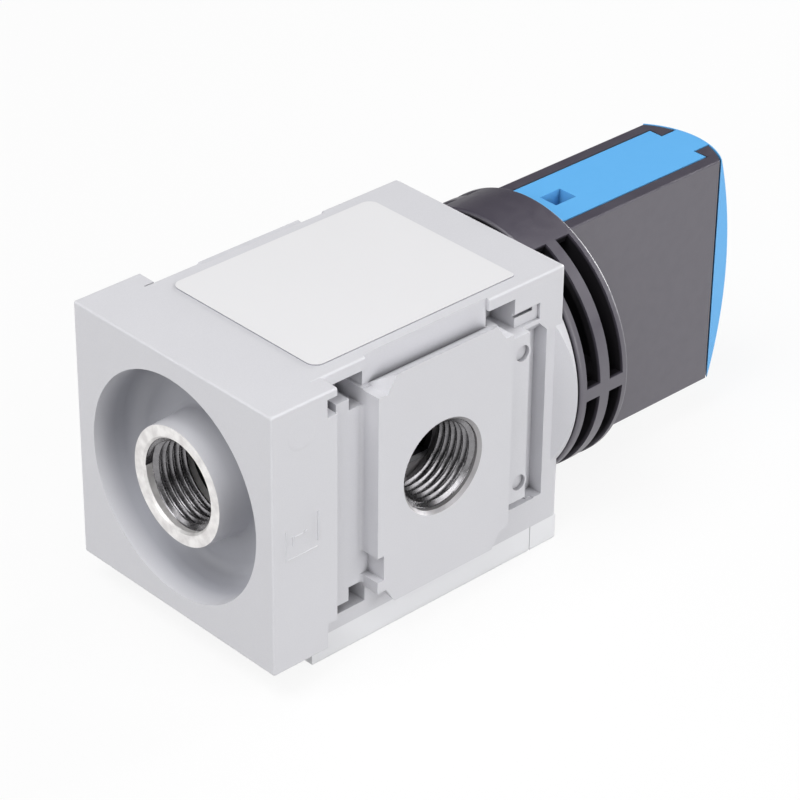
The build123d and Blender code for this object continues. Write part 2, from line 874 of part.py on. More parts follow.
def helical_slot():
    """One cam slot from the +Y side, falling through the turn while X rises by the lift.

    Its faces are ruled along radial lines, so its axial width is that of the pin where
    the helix is steepest, at the sleeve's bore.
    """
    steepest = math.atan(lift / (math.radians(turn) * sleeve_bore))
    half_width = pin_radius / math.cos(steepest) + running
    half_angle = half_width * turn / lift
    inner = sleeve_bore / 2
    outer = sleeve_radius + spindle_radius
    x0 = pin_x - half_width
    height = lift + 2 * half_width
    start = half_angle
    section = sector_face(inner, outer, start - half_angle, start + half_angle)
    twisted = Solid.extrude_linear_with_rotation(
        (Plane.YZ.offset(x0) * section).face(),
        center=(x0, 0, 0),
        normal=(height, 0, 0),
        angle=-height * turn / lift,
    )
    slot = sector(inner, outer, -turn, 0, x0, x0 + height) & twisted
    end_radius = half_width
    first = cross_rod(end_radius, inner, outer, pin_x)
    last = Rot(-turn, 0, 0) * cross_rod(end_radius, inner, outer, pin_x + lift)
    return slot + first + last


def cam_sleeve():
    """Sleeve turned by the knob, with two helical slots and a hub with two flats."""
    shape = turned(
        [
            (sleeve_x0, sleeve_bore),
            (sleeve_x0, sleeve_radius),
            (sleeve_x1, sleeve_radius),
            (sleeve_x1, hub_radius),
            (hub_x1, hub_radius),
            (hub_x1, knob_screw_radius + fit),
            (sleeve_bore_x, knob_screw_radius + fit),
            (sleeve_bore_x, sleeve_bore),
        ]
    )
    for z0, z1 in ((hub_flat, hub_radius), (-hub_radius, -hub_flat)):
        shape -= bar(sleeve_x1, hub_x1, -hub_radius, hub_radius, z0, z1)
    slot = helical_slot()
    return shape - slot - Rot(180, 0, 0) * slot


def cam_retaining_ring():
    """Open ring in the bonnet's groove that holds the cam sleeve."""
    outer = sleeve_radius + running + ring_groove_reach - fit
    inner = hub_radius + ring_groove_reach / 2
    return open_ring(inner, outer, retaining_x + slip, retaining_x + ring_groove_width - slip)


def thrust_washer():
    """Plastic ring between the bonnet's wall and the cam sleeve."""
    x1 = sleeve_room_x + thrust_washer_thickness
    return rod(sleeve_radius, sleeve_room_x, x1) - rod(thrust_washer_bore, sleeve_room_x, x1)


def drum_slots():
    """Two rows of long slots through the drum, on both sides of each side web."""
    row_2 = drum_x1 - slot_inset
    row_1 = row_2 - slot_length - slot_web
    inner = drum_inner - drum_wall
    outer = drum_radius + drum_wall
    slots = None
    for x1 in (row_1, row_2):
        for centre in (0, 180):
            for first in (slot_half_web, -slot_end):
                start = centre + first
                end = start + slot_end - slot_half_web
                slot = sector(inner, outer, start, end, x1 - slot_length, x1)
                slots = slot if slots is None else slots + slot
    return slots


def grip_plan(radius, half_width):
    """Plan of the grip from the drum to a rounded end."""
    tip = (round_x + radius, 0)
    corner_x = round_x + math.sqrt(radius**2 - half_width**2)
    return make_face(
        [
            Line((drum_x1 - drum_end, -half_width), (corner_x, -half_width)),
            ThreePointArc((corner_x, -half_width), tip, (corner_x, half_width)),
            Line((corner_x, half_width), (drum_x1 - drum_end, half_width)),
            Line((drum_x1 - drum_end, half_width), (drum_x1 - drum_end, -half_width)),
        ]
    )


def grip_block(radius, half_width, z0, z1):
    """Solid over that plan between two heights."""
    return Pos(0, 0, z0) * extrude(grip_plan(radius, half_width), z1 - z0, dir=(0, 0, 1))


def knob():
    """Slotted drum and flat grip with two side plates, one moulding."""
    drum = rod(drum_radius, drum_x0, drum_x1)
    drum = fillet(drum.edges(), drum_round)
    drum -= rod(drum_inner, drum_x0, drum_x1 - drum_end)
    boss_x = neck_x + knob_boss_play
    drum += rod(knob_boss_radius, boss_x, drum_x1 - drum_end)
    rib = bar(
        boss_x + knob_rib_inset,
        drum_x1 - drum_end,
        knob_boss_radius - knob_rib_root,
        drum_inner + knob_rib_root,
        -knob_rib / 2,
        knob_rib / 2,
    )
    for index in range(knob_rib_count):
        drum += Rot(index * 360 / knob_rib_count, 0, 0) * rib
    drum -= drum_slots()

    grip = grip_block(lip_round, grip_half_width, -grip_low, grip_half_height)
    grip = fillet(grip.edges().filter_by(Axis.X), grip_edge)
    grip -= bar(
        drum_x1,
        lip_x,
        -grip_cavity,
        grip_cavity,
        web_thickness - grip_low,
        grip_half_height,
    )
    grip -= bar(
        lip_x,
        cap_x,
        -lip_half_gap,
        lip_half_gap,
        web_thickness - grip_low,
        grip_half_height,
    )
    lug_x = drum_x1 + lug_station
    reach = grip_cavity + lug_depth
    grip -= bar(
        lug_x - moulding_gap,
        lug_x + lug_length + moulding_gap,
        -reach,
        reach,
        -lug_low - moulding_gap,
        lug_height - lug_low + slide_travel + moulding_gap,
    )
    body = drum + grip

    socket = rod(hub_radius + fit, boss_x, hub_x1)
    socket &= bar(boss_x, hub_x1, -drum_radius, drum_radius, -hub_flat - fit, hub_flat + fit)
    body -= socket
    body -= rod(knob_screw_radius + fit, hub_x1, drum_x1)
    return body - countersink(fit)


def countersink(clearance):
    """Cone of the knob screw's head."""
    depth = knob_screw_head - knob_screw_radius
    cone = Cone(knob_screw_radius + clearance, knob_screw_head + clearance, depth)
    return Pos(drum_x1 - depth / 2, 0, 0) * Rot(0, 90, 0) * cone


def knob_screw():
    """Countersunk screw that holds the knob on the cam sleeve."""
    screw = rod(knob_screw_radius, drum_x1 - knob_screw_length, drum_x1) + countersink(0)
    return screw - rod(screw_socket_radius, drum_x1 - screw_socket_radius, drum_x1)


def lock_slide():
    """Blue slide between the grip's plates, with a barrel-shaped cap over their lips."""
    low = web_thickness - grip_low + moulding_gap
    slab = bar(
        drum_x1 + moulding_gap,
        lip_x - moulding_gap,
        -slide_half_width,
        slide_half_width,
        low,
        grip_half_height,
    )
    neck_half = lip_half_gap - moulding_gap
    slab += bar(lip_x - moulding_gap, cap_x, -neck_half, neck_half, low, grip_half_height)
    cap = grip_block(grip_round + cap_bulge, grip_half_width, -grip_low, grip_half_height)
    cap -= grip_block(lip_round + moulding_gap, grip_half_width + moulding_gap, -grip_low, grip_half_height)
    solid = slab + cap

    barrel_radius = (grip_low**2 + cap_bulge**2) / (2 * cap_bulge)
    barrel_x = cap_x + cap_bulge - barrel_radius
    crown = grip_round
    crown_x = cap_x + cap_bulge - crown
    corner_x = crown_x + math.sqrt(crown**2 - grip_half_width**2)
    outline = make_face(
        [
            Line((drum_x1, -grip_half_width), (corner_x, -grip_half_width)),
            ThreePointArc(
                (corner_x, -grip_half_width),
                (cap_x + cap_bulge, 0),
                (corner_x, grip_half_width),
            ),
            Line((corner_x, grip_half_width), (drum_x1, grip_half_width)),
            Line((drum_x1, grip_half_width), (drum_x1, -grip_half_width)),
        ]
    )
    sweep_angle = 2 * math.degrees(math.asin(grip_low / (drum_x1 - barrel_x)))
    barrel_axis = Axis((barrel_x, 0, 0), (0, 1, 0))
    barrel = revolve(outline.rotate(barrel_axis, -sweep_angle / 2), barrel_axis, sweep_angle)
    solid &= barrel

    notch_x = drum_x1 + notch_inset
    solid -= bar(
        notch_x,
        notch_x + notch_length,
        -notch_half_width,
        notch_half_width,
        grip_half_height - notch_depth,
        grip_half_height,
    )
    hole_z = grip_half_height - slide_bar / 2 + moulding_gap
    for index in range(lock_hole_count):
        x = drum_x1 + lock_hole_first + index * lock_hole_pitch
        solid -= cross_rod(lock_hole_radius, -grip_half_width, grip_half_width, x, hole_z)

    pocket_x0 = drum_x1 + moulding_gap + slide_wall
    pocket_x1 = lip_x - moulding_gap - slide_wall
    pocket_y = slide_half_width - slide_wall
    pocket = bar(pocket_x0, pocket_x1, -pocket_y, pocket_y, low, grip_half_height - slide_bar)
    for index in range(1, lock_hole_count):
        x = pocket_x0 + (pocket_x1 - pocket_x0) * index / lock_hole_count
        pocket -= bar(x - slide_rib / 2, x + slide_rib / 2, -pocket_y, pocket_y, low, grip_half_height)
    solid -= pocket

    lug_x = drum_x1 + lug_station
    reach = slide_half_width + lug_depth
    for y0, y1 in ((slide_half_width, reach), (-reach, -slide_half_width)):
        solid += bar(lug_x, lug_x + lug_length, y0, y1, -lug_low, lug_height - lug_low)
    return solid


def finish(name, shape):
    """Moves a piece to the part's frame and writes it."""
    solids = shape if isinstance(shape, list) else [shape]
    moved = [Pos(-port_x, 0, -rest_z) * piece for piece in solids]
    if len(moved) > 1:
        result = Compound(children=[piece.solid() for piece in moved])
    else:
        result = moved[0].solid()
    result.label = name
    export_step(result, f"parts/{name}.step")


joint_x = block_length + cover_joint

finish("valve_body", valve_body())
finish("label_plate", label_plate())
finish("back_cover", cover_tray(block_length, joint_x - cover_joint_gap / 2, cover_rib_count))
finish("back_end_cover", cover_tray(joint_x + cover_joint_gap / 2, collar_x - cover_end_inset, 0))
finish("bonnet", bonnet())
finish("bonnet_screws", bonnet_screws())
finish("bonnet_o_ring", o_ring(bore_radius - o_ring_radius - fit, plug_x + plug_o_ring_inset))
finish("stem_o_ring", o_ring(spindle_radius + running + o_ring_radius, plug_x + stem_o_ring_inset))
finish("thrust_washer", thrust_washer())
finish("cam_sleeve", cam_sleeve())
finish("cam_retaining_ring", cam_retaining_ring())
finish("spindle", spindle())
finish("drive_pin", drive_pin())
finish("main_poppet", main_poppet())
finish("main_seal", main_seal())
finish("poppet_ring", poppet_ring())
finish("exhaust_poppet", exhaust_poppet())
finish("exhaust_seal", exhaust_seal())
finish("poppet_washer", poppet_washer())
finish("poppet_screw", poppet_screw())
finish("return_spring", return_spring())
finish("knob", knob())
finish("knob_screw", knob_screw())
finish("lock_slide", lock_slide())
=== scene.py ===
"""Looks of the modular manual on-off valve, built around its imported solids.

Lengths are named in millimetres and turned into metres where they are used. The end
block's front face is at X = -46.8, the spindle axis runs along X at a height of 38.4 and
the two side ports lie on the Y axis at that height.
"""

import math
from functools import partial

import bmesh
import bpy
from mathutils import Matrix, Vector

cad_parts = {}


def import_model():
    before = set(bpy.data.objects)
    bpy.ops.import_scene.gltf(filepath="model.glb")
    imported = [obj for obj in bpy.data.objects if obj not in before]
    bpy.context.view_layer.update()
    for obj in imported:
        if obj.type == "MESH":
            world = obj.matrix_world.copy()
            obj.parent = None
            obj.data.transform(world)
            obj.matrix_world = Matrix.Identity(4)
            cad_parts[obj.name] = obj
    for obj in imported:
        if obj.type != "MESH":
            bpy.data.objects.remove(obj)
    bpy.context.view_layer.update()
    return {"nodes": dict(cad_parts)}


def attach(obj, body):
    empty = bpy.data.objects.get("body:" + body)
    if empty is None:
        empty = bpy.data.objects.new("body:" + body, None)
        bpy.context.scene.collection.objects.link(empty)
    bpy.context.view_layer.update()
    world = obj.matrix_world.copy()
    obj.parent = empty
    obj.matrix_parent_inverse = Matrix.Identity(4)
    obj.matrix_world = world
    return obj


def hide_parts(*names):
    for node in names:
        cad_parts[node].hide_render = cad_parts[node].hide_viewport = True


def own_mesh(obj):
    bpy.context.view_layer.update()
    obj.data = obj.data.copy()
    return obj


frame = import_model()

MM = 0.001

# Camera, as worked out from the edges of the end block in the photo
CAMERA_PLACE = (-398.3, -441.3, 405.1)
CAMERA_YAW = 46.764           # this and the next two are in degrees
CAMERA_PITCH = 31.527
CAMERA_ROLL = 0.651
CAMERA_LENS = 147.57
SENSOR = 36.0
CLIP_START = 10.0
CLIP_END = 20000.0

# Where the solids lie
BLOCK_FACE_X = -46.8
BLOCK_SIDE_Y = -31.0
AXIS_Z = 38.4
BLOCK_BOTTOM_Z = 7.4
DISH_RADIUS = 26.2
DISH_END_X = -34.0
BOSS_FACE_X = -45.9
BOSS_RADIUS = 13.6
EXHAUST_BORE_END_X = -33.2
INNER_RADIUS = 17.4           # of the passages inside the body
DRUM_RADIUS = 31.5
DRUM_END_X = 54.7

# Paint of the casting. A pair of noise levels says where a spot starts and where it is full
CLOUD_SIZE = 16.0
CLOUD_TONES = ((0.636, 0.634, 0.664), (0.660, 0.659, 0.688))
SPECK_SIZE = 0.22
SPECK_LEVELS = (0.35, 0.65)
SPECK_TONES = ((0.620, 0.618, 0.647), (0.676, 0.675, 0.705))
SPECK_SHARE = 0.35
PAINT_GLOSS_PATCH = 5.0
PAINT_ROUGHNESS = (0.38, 0.50)
# painted shade in the end block's recess, darker with depth
RECESS_SHADE_TONE = (0.410, 0.415, 0.450)
RECESS_SHADE_START = 0.2              # depth in the recess at which the painted shade begins
RECESS_SHADE_FULL = 5.0
BOSS_SHADE_FADE = 1.5               # beside the boss, where the painted shade in the recess is weaker
BOSS_SHADE_SHARE = 0.5               # share of the painted shade in the recess that is left right at the boss
SHADED_PAINT = (0.03, 0.03, 0.04)

# Bare metal of the casting
BARE_RADIUS = 11.3            # round a port's axis, within which the casting is bare
TOUCH = 0.02                  # slack where a face is told by its place
STAIN_SIZE = 2.6
STAIN_LEVELS = (0.38, 0.64)
CLEAN_METAL = (0.90, 0.885, 0.875)
STAINED_METAL = (0.72, 0.70, 0.695)
# bare metal in the side ports, darkened as painted shade
SHADED_PORT_METAL = (0.40, 0.39, 0.40)
METAL_SHARE = 0.7
BARE_GLOSS_PATCH = 1.2
BARE_ROUGHNESS = (0.42, 0.52)
# painted shade deep inside the passages
PASSAGE_SHADE = (0.055, 0.055, 0.060)

# Painted shade in corners and pockets
CREVICE_REACH = 4.0
CREVICE_SAMPLES = 8
CREVICE_DEEP = 0.15           # openness that counts as deep
CREVICE_OPEN = 0.78           # openness that counts as open
PAINT_FOCUS = 2.5
PLASTIC_FOCUS = 1.0

# Plastics, with painted shade inside the drum on the black one
PATCH_SIZE = 9.0
GLOSS_PATCH_SIZE = 3.0
BLACK_TONES = ((0.064, 0.057, 0.077), (0.073, 0.065, 0.086))
BLACK_ROUGHNESS = (0.38, 0.48)
BLACK_IOR = 1.7
BLACK_SPECULAR = 0.75
# painted shade inside the drum: a near black with weak reflections
DRUM_SHADE_BLACK = (0.012, 0.011, 0.013)
DRUM_SHADE_SPECULAR = 0.1
FULL_SHADE_DEPTH = 1.0              # under the drum's rim, where the painted shade is full
SHADE_START_DEPTH = 0.2            # under the drum's rim, where the painted shade starts

# Turned metals
METAL_STAIN_SIZE = 1.6
METAL_STAIN_LEVELS = (0.35, 0.65)
METAL_GLOSS_PATCH = 0.8
MARK_SIZE = 0.5

# Label
FILM_PATCH_SIZE = 20.0
FILM_PATCH_SHARE = 0.985
FILM_ROUGHNESS = (0.36, 0.44)
FILM_FACING = 0.5             # upright share of a normal from which a face isn't the cut edge

# Levels between which most of a noise lies
NOISE_LOW = 0.3
NOISE_HIGH = 0.7

# Half-inch pipe thread, as ridges that stand out from the bore's wall
PITCH = 1.814
THREAD_WALL = 10.47           # radius at which a ridge starts, just off the bore's wall
THREAD_ROOT = 10.42
THREAD_CREST = 9.32
THREAD_ROUND = 0.249          # of its crests and roots
FLANK_TURN = 62.5             # degrees from the middle of a crest to its flank
THREAD_STEPS = 72             # round one turn
THREAD_FADE = 12              # steps in which a ridge grows to its full height
THREAD_START = 1.25           # from the port's mouth to the first ridge's middle
EXHAUST_THREAD = (10.98, 12.3)    # radius at the mouth and length
SIDE_THREAD = (11.2, 13.2)

# Return spring, held by the bonnet at its far end
SPRING_START = 6.6
SPRING_HEIGHT = 13.9
SPRING_RADIUS = 9.0
SPRING_TURNS = 4
SPRING_STEPS = 48             # round one turn
WIRE_RADIUS = 0.6
WIRE_SIDES = 12

# Faint raised marks on the near side of the end block, placed from its face and underside
SINK = 0.02                   # how far their lower edges lie in the wall
MARK_WIDTH = 0.4
MARK_HEIGHT = 0.13
WALL_HEIGHT = 0.28
PAD_CENTRE = (7.85, 55.1)
PAD_RADIUS = 3.2
PAD_FLANK = 0.5
PAD_LAND = 0.4
PAD_HEIGHT = 0.05
PAD_FADE = 0.6                # share of its height that the pad loses at its upper edge
PAD_STEPS = 48
INSERT = (3.5, 26.9, 12.0, 35.5)  # left, lower, right and upper edge
INSERT_GAP = 1.5              # where two of its corners stay open
INSERT_LINES = (
    ((5.35, 30.0), (5.35, 32.1), WALL_HEIGHT),
    ((5.8, 31.7), (8.1, 31.8), MARK_HEIGHT),
    ((8.6, 31.8), (9.0, 32.3), WALL_HEIGHT),
)
SHARP_ANGLE = 35.0            # degrees from which an edge of a piece stays sharp

# Floor, its size from the middle to an edge in metres
FLOOR_SIZE = 12.0
FLOOR_GLOW = 0.88             # share of its own light, for rays that see the floor itself
FLOOR_SHOWN = 0.80            # its grey for those rays
FLOOR_BOUNCE = 0.45           # its grey for the light that it sends back
FLOOR_ROUGHNESS = 0.9

# Lamps round the object, lengths in metres, with azimuth, elevation and power in watts
LAMP_TARGET = (0.0, 0.0, 0.04)
LAMP_DISTANCE = 1.4
LAMP_SIZE = 0.7
LAMPS = (
    ("lamp_over_end_face", 180, 62, 12.0),
    ("lamp_over_near_side", 220, 62, 2.4),
    ("lamp_knob_side", 0, 12, 19.5),
    ("lamp_near_side", 270, 12, 6.7),
    ("lamp_near_side_high", 290, 35, 5.0),
    ("lamp_far_side", 150, 12, 4.2),
    ("lamp_end_side", 208, 30, 4.4),
)


def metres(*values):
    """A vector in metres from millimetres."""
    return Vector(values) * MM


# Materials


def blank(name):
    """A new material with its node tree and its surface shader."""
    material = bpy.data.materials.new(name)
    material.use_nodes = True
    tree = material.node_tree
    return material, tree, tree.nodes["Principled BSDF"]


def place(tree):
    """Coordinates that stay on the piece as it moves."""
    return tree.nodes.new("ShaderNodeTexCoord").outputs["Object"]


def noise(tree, size, detail=3.0):
    """Noise whose grains are about size millimetres across."""
    node = tree.nodes.new("ShaderNodeTexNoise")
    node.inputs["Scale"].default_value = 1 / (size * MM)
    node.inputs["Detail"].default_value = detail
    tree.links.new(place(tree), node.inputs["Vector"])
    return node.outputs["Fac"]


def spread(tree, value, low, high, to_low, to_high):
    """The value's range from low to high, spread over another range."""
    node = tree.nodes.new("ShaderNodeMapRange")
    node.inputs["From Min"].default_value = low
    node.inputs["From Max"].default_value = high
    node.inputs["To Min"].default_value = to_low
    node.inputs["To Max"].default_value = to_high
    tree.links.new(value, node.inputs["Value"])
    return node.outputs["Result"]


def drift(tree, size, limits):
    """Value that drifts between two limits in patches of about size millimetres."""
    return spread(tree, noise(tree, size), NOISE_LOW, NOISE_HIGH, *limits)


def spots(tree, size, levels, detail=3.0):
    """0 beside and 1 in the spots, which start and are full at two levels of a noise."""
    return spread(tree, noise(tree, size, detail), *levels, 0.0, 1.0)


def math_node(tree, operation, first, second=0.0):
    """One calculation on sockets or numbers."""
    node = tree.nodes.new("ShaderNodeMath")
    node.operation = operation
    for socket, value in zip(node.inputs, (first, second)):
        if isinstance(value, (int, float)):
            socket.default_value = value
        else:
            tree.links.new(value, socket)
    return node.outputs["Value"]


def product(tree, first, *others):
    """Several shares multiplied."""
    for other in others:
        first = math_node(tree, "MULTIPLY", first, other)
    return first


def largest(tree, first, *others):
    """The largest of several values."""
    for other in others:
        first = math_node(tree, "MAXIMUM", first, other)
    return first


def blend_colours(tree, share, first, second):
    """Colour between two colours or colour sockets."""
    node = tree.nodes.new("ShaderNodeMix")
    node.data_type = "RGBA"
    if isinstance(share, float):
        node.inputs["Factor"].default_value = share
    else:
        tree.links.new(share, node.inputs["Factor"])
    for socket, value in ((node.inputs[6], first), (node.inputs[7], second)):
        if isinstance(value, tuple):
            socket.default_value = (*value, 1.0)
        else:
            tree.links.new(value, socket)
    return node.outputs[2]


def blend_values(tree, share, first, second):
    """Number between two sockets."""
    difference = math_node(tree, "SUBTRACT", second, first)
    return math_node(tree, "ADD", first, math_node(tree, "MULTIPLY", difference, share))


def relief(tree, shader, size, depth, detail=3.0, strength=0.6):
    """Fine grains on the surface, their size and depth in millimetres."""
    node = tree.nodes.new("ShaderNodeBump")
    node.inputs["Strength"].default_value = strength
    node.inputs["Distance"].default_value = depth * MM
    tree.links.new(noise(tree, size, detail), node.inputs["Height"])
    tree.links.new(node.outputs["Normal"], shader.inputs["Normal"])


def under(tree, value, limit):
    """1 where the value is under the limit in millimetres."""
    return math_node(tree, "LESS_THAN", value, limit * MM)


def over(tree, value, limit):
    """1 where the value is over the limit in millimetres."""
    return math_node(tree, "GREATER_THAN", value, limit * MM)


def distance_from_axis(tree, first, second):
    """Distance in the plane of two coordinates."""
    squares = [math_node(tree, "MULTIPLY", s, s) for s in (first, second)]
    return math_node(tree, "SQRT", math_node(tree, "ADD", *squares))


def axes(tree):
    """X, absolute Y, distance from the spindle axis and distance from the side ports' axis."""
    split = tree.nodes.new("ShaderNodeSeparateXYZ")
    tree.links.new(place(tree), split.inputs["Vector"])
    x, y = split.outputs["X"], split.outputs["Y"]
    z = math_node(tree, "SUBTRACT", split.outputs["Z"], AXIS_Z * MM)
    out = math_node(tree, "ABSOLUTE", y)
    return x, out, distance_from_axis(tree, y, z), distance_from_axis(tree, x, z)


def crevice_shade(tree, focus):
    """Share of painted shade: 1 deep in corners and pockets of the piece itself, 0 where it lies open.

    A higher focus leaves out the shallow corners.
    """
    node = tree.nodes.new("ShaderNodeAmbientOcclusion")
    node.samples = CREVICE_SAMPLES
    node.only_local = True
    node.inputs["Distance"].default_value = CREVICE_REACH * MM
    share = spread(tree, node.outputs["AO"], CREVICE_DEEP, CREVICE_OPEN, 1.0, 0.0)
    return math_node(tree, "POWER", share, focus)


def painted(tree, x, from_spindle):
    """Colour of the paint, with painted shade that deepens into the recess and painted shade deep in
    corners.
    """
    clouds = blend_colours(tree, noise(tree, CLOUD_SIZE, detail=2.0), *CLOUD_TONES)
    specks = blend_colours(tree, spots(tree, SPECK_SIZE, SPECK_LEVELS, detail=1.0), *SPECK_TONES)
    paint = blend_colours(tree, SPECK_SHARE, clouds, specks)
    # painted shade that deepens into the recess, weaker right beside the boss
    start, full = (BLOCK_FACE_X + RECESS_SHADE_START) * MM, (BLOCK_FACE_X + RECESS_SHADE_FULL) * MM
    depth = spread(tree, x, start, full, 0.0, 1.0)
    recess = product(tree, depth, under(tree, x, DISH_END_X), under(tree, from_spindle, DISH_RADIUS))
    start, full = BOSS_RADIUS * MM, (BOSS_RADIUS + BOSS_SHADE_FADE) * MM
    beside_boss = spread(tree, from_spindle, start, full, BOSS_SHADE_SHARE, 1.0)
    paint = blend_colours(tree, product(tree, recess, beside_boss), paint, RECESS_SHADE_TONE)
    # painted shade deep in corners and pockets
    return blend_colours(tree, crevice_shade(tree, PAINT_FOCUS), paint, SHADED_PAINT)


def machined(tree, x, out, from_spindle, from_port):
    """1 where the casting is bare metal, and another that is 1 in the side ports alone."""
    to_face = math_node(tree, "ABSOLUTE", math_node(tree, "SUBTRACT", x, BOSS_FACE_X * MM))
    boss = product(tree, under(tree, to_face, TOUCH), under(tree, from_spindle, BOSS_RADIUS))
    bore = product(
        tree,
        under(tree, from_spindle, BARE_RADIUS),
        over(tree, x, BOSS_FACE_X),
        under(tree, x, EXHAUST_BORE_END_X),
    )
    ports = product(
        tree,
        under(tree, from_port, BARE_RADIUS),
        over(tree, out, INNER_RADIUS),
        under(tree, out, -BLOCK_SIDE_Y - TOUCH),
    )
    return largest(tree, boss, bore, ports), ports


def casting():
    """Satin light grey paint on the die-casting, which is bare where it is machined."""
    material, tree, shader = blank("casting_paint")
    x, out, from_spindle, from_port = axes(tree)
    bare, ports = machined(tree, x, out, from_spindle, from_port)
    metal = blend_colours(tree, spots(tree, STAIN_SIZE, STAIN_LEVELS), CLEAN_METAL, STAINED_METAL)
    # painted shade on the bare metal inside the side ports
    metal = blend_colours(tree, ports, metal, SHADED_PORT_METAL)
    colour = blend_colours(tree, bare, painted(tree, x, from_spindle), metal)
    # painted shade deep inside the passages behind the exhaust bore
    passages = product(tree, under(tree, from_spindle, INNER_RADIUS), over(tree, x, EXHAUST_BORE_END_X))
    colour = blend_colours(tree, passages, colour, PASSAGE_SHADE)
    tree.links.new(colour, shader.inputs["Base Color"])
    tree.links.new(math_node(tree, "MULTIPLY", bare, METAL_SHARE), shader.inputs["Metallic"])
    paint_roughness = drift(tree, PAINT_GLOSS_PATCH, PAINT_ROUGHNESS)
    bare_roughness = drift(tree, BARE_GLOSS_PATCH, BARE_ROUGHNESS)
    tree.links.new(blend_values(tree, bare, paint_roughness, bare_roughness), shader.inputs["Roughness"])
    relief(tree, shader, size=0.7, depth=0.02, strength=0.5)
    return material


def turned_metal(name, light, dark, rough, mark_depth):
    """Metal with fine tool marks and stains."""
    material, tree, shader = blank(name)
    stains = spots(tree, METAL_STAIN_SIZE, METAL_STAIN_LEVELS)
    tree.links.new(blend_colours(tree, stains, light, dark), shader.inputs["Base Color"])
    shader.inputs["Metallic"].default_value = 1.0
    tree.links.new(drift(tree, METAL_GLOSS_PATCH, rough), shader.inputs["Roughness"])
    relief(tree, shader, MARK_SIZE, mark_depth, detail=2.0)
    return material


def moulded(name, light, dark, rough, grain_size, grain_depth=0.02, deep=None):
    """Moulded plastic with slight patches, an eroded grain and, where a deep tone is given, painted shade
    in its corners.
    """
    material, tree, shader = blank(name)
    colour = blend_colours(tree, noise(tree, PATCH_SIZE), dark, light)
    if deep:
        # painted shade in the corners
        colour = blend_colours(tree, crevice_shade(tree, PLASTIC_FOCUS), colour, deep)
    tree.links.new(colour, shader.inputs["Base Color"])
    tree.links.new(drift(tree, GLOSS_PATCH_SIZE, rough), shader.inputs["Roughness"])
    relief(tree, shader, grain_size, grain_depth)
    return material


def black_moulding():
    """Fine grained black plastic with a strong satin gloss, and painted shade inside the drum that
    darkens it and weakens its reflections.
    """
    material, tree, shader = blank("black_moulding")
    x, _, from_spindle, _ = axes(tree)
    full_shade, shade_start = (DRUM_RADIUS - FULL_SHADE_DEPTH) * MM, (DRUM_RADIUS - SHADE_START_DEPTH) * MM
    # painted shade inside the drum
    drum_shade = product(tree, under(tree, x, DRUM_END_X), spread(tree, from_spindle, full_shade, shade_start, 1.0, 0.0))
    patch = blend_colours(tree, noise(tree, PATCH_SIZE), *BLACK_TONES)
    tree.links.new(blend_colours(tree, drum_shade, patch, DRUM_SHADE_BLACK), shader.inputs["Base Color"])
    specular = spread(tree, drum_shade, 0.0, 1.0, BLACK_SPECULAR, DRUM_SHADE_SPECULAR)
    tree.links.new(specular, shader.inputs["Specular IOR Level"])
    shader.inputs["IOR"].default_value = BLACK_IOR
    tree.links.new(drift(tree, GLOSS_PATCH_SIZE, BLACK_ROUGHNESS), shader.inputs["Roughness"])
    relief(tree, shader, size=0.35, depth=0.03)
    return material


def label_film(name, top, edge):
    """Satin film with painted shade on its cut edge."""
    material, tree, shader = blank(name)
    split = tree.nodes.new("ShaderNodeSeparateXYZ")
    tree.links.new(tree.nodes.new("ShaderNodeNewGeometry").outputs["Normal"], split.inputs["Vector"])
    facing = math_node(tree, "GREATER_THAN", math_node(tree, "ABSOLUTE", split.outputs["Z"]), FILM_FACING)
    dimmer = tuple(share * FILM_PATCH_SHARE for share in top)
    patch = blend_colours(tree, noise(tree, FILM_PATCH_SIZE, detail=2.0), top, dimmer)
    # painted shade on the cut edge
    tree.links.new(blend_colours(tree, facing, edge, patch), shader.inputs["Base Color"])
    tree.links.new(drift(tree, GLOSS_PATCH_SIZE, FILM_ROUGHNESS), shader.inputs["Roughness"])
    relief(tree, shader, size=0.5, depth=0.01)
    return material


def dress(material, *names):
    """Puts one material on CAD nodes."""
    for name in names:
        data = frame["nodes"][name].data
        data.materials.clear()
        data.materials.append(material)


# Pieces


def piece(name, build, material, body):
    """A mesh piece that rides on a body, made by a function that fills a bmesh."""
    mesh = bpy.data.meshes.new(name)
    shape = bmesh.new()
    build(shape)
    bmesh.ops.recalc_face_normals(shape, faces=shape.faces)
    shape.to_mesh(mesh)
    shape.free()
    mesh.polygons.foreach_set("use_smooth", [True] * len(mesh.polygons))
    mesh.set_sharp_from_angle(angle=math.radians(SHARP_ANGLE))
    mesh.materials.append(material)
    thing = bpy.data.objects.new(name, mesh)
    bpy.context.scene.collection.objects.link(thing)
    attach(thing, body)
    return thing


def bridge(shape, rings):
    """Faces between rings of as many points, and one that closes each end."""
    for first, second in zip(rings, rings[1:]):
        for index in range(len(first)):
            following = (index + 1) % len(first)
            shape.faces.new((first[index], first[following], second[following], second[index]))
    shape.faces.new(rings[0])
    shape.faces.new(list(reversed(rings[-1])))


def thread_profile():
    """Half of a ridge as (distance from its middle, radius), from its crest to its root."""
    turns = [math.radians(FLANK_TURN * share) for share in (0.0, 0.5, 1.0)]
    crest = [(THREAD_ROUND * math.sin(a), THREAD_CREST + THREAD_ROUND * (1 - math.cos(a))) for a in turns]
    root = [
        (PITCH / 2 - THREAD_ROUND * math.sin(a), THREAD_ROOT - THREAD_ROUND * (1 - math.cos(a)))
        for a in reversed(turns)
    ]
    return crest + root


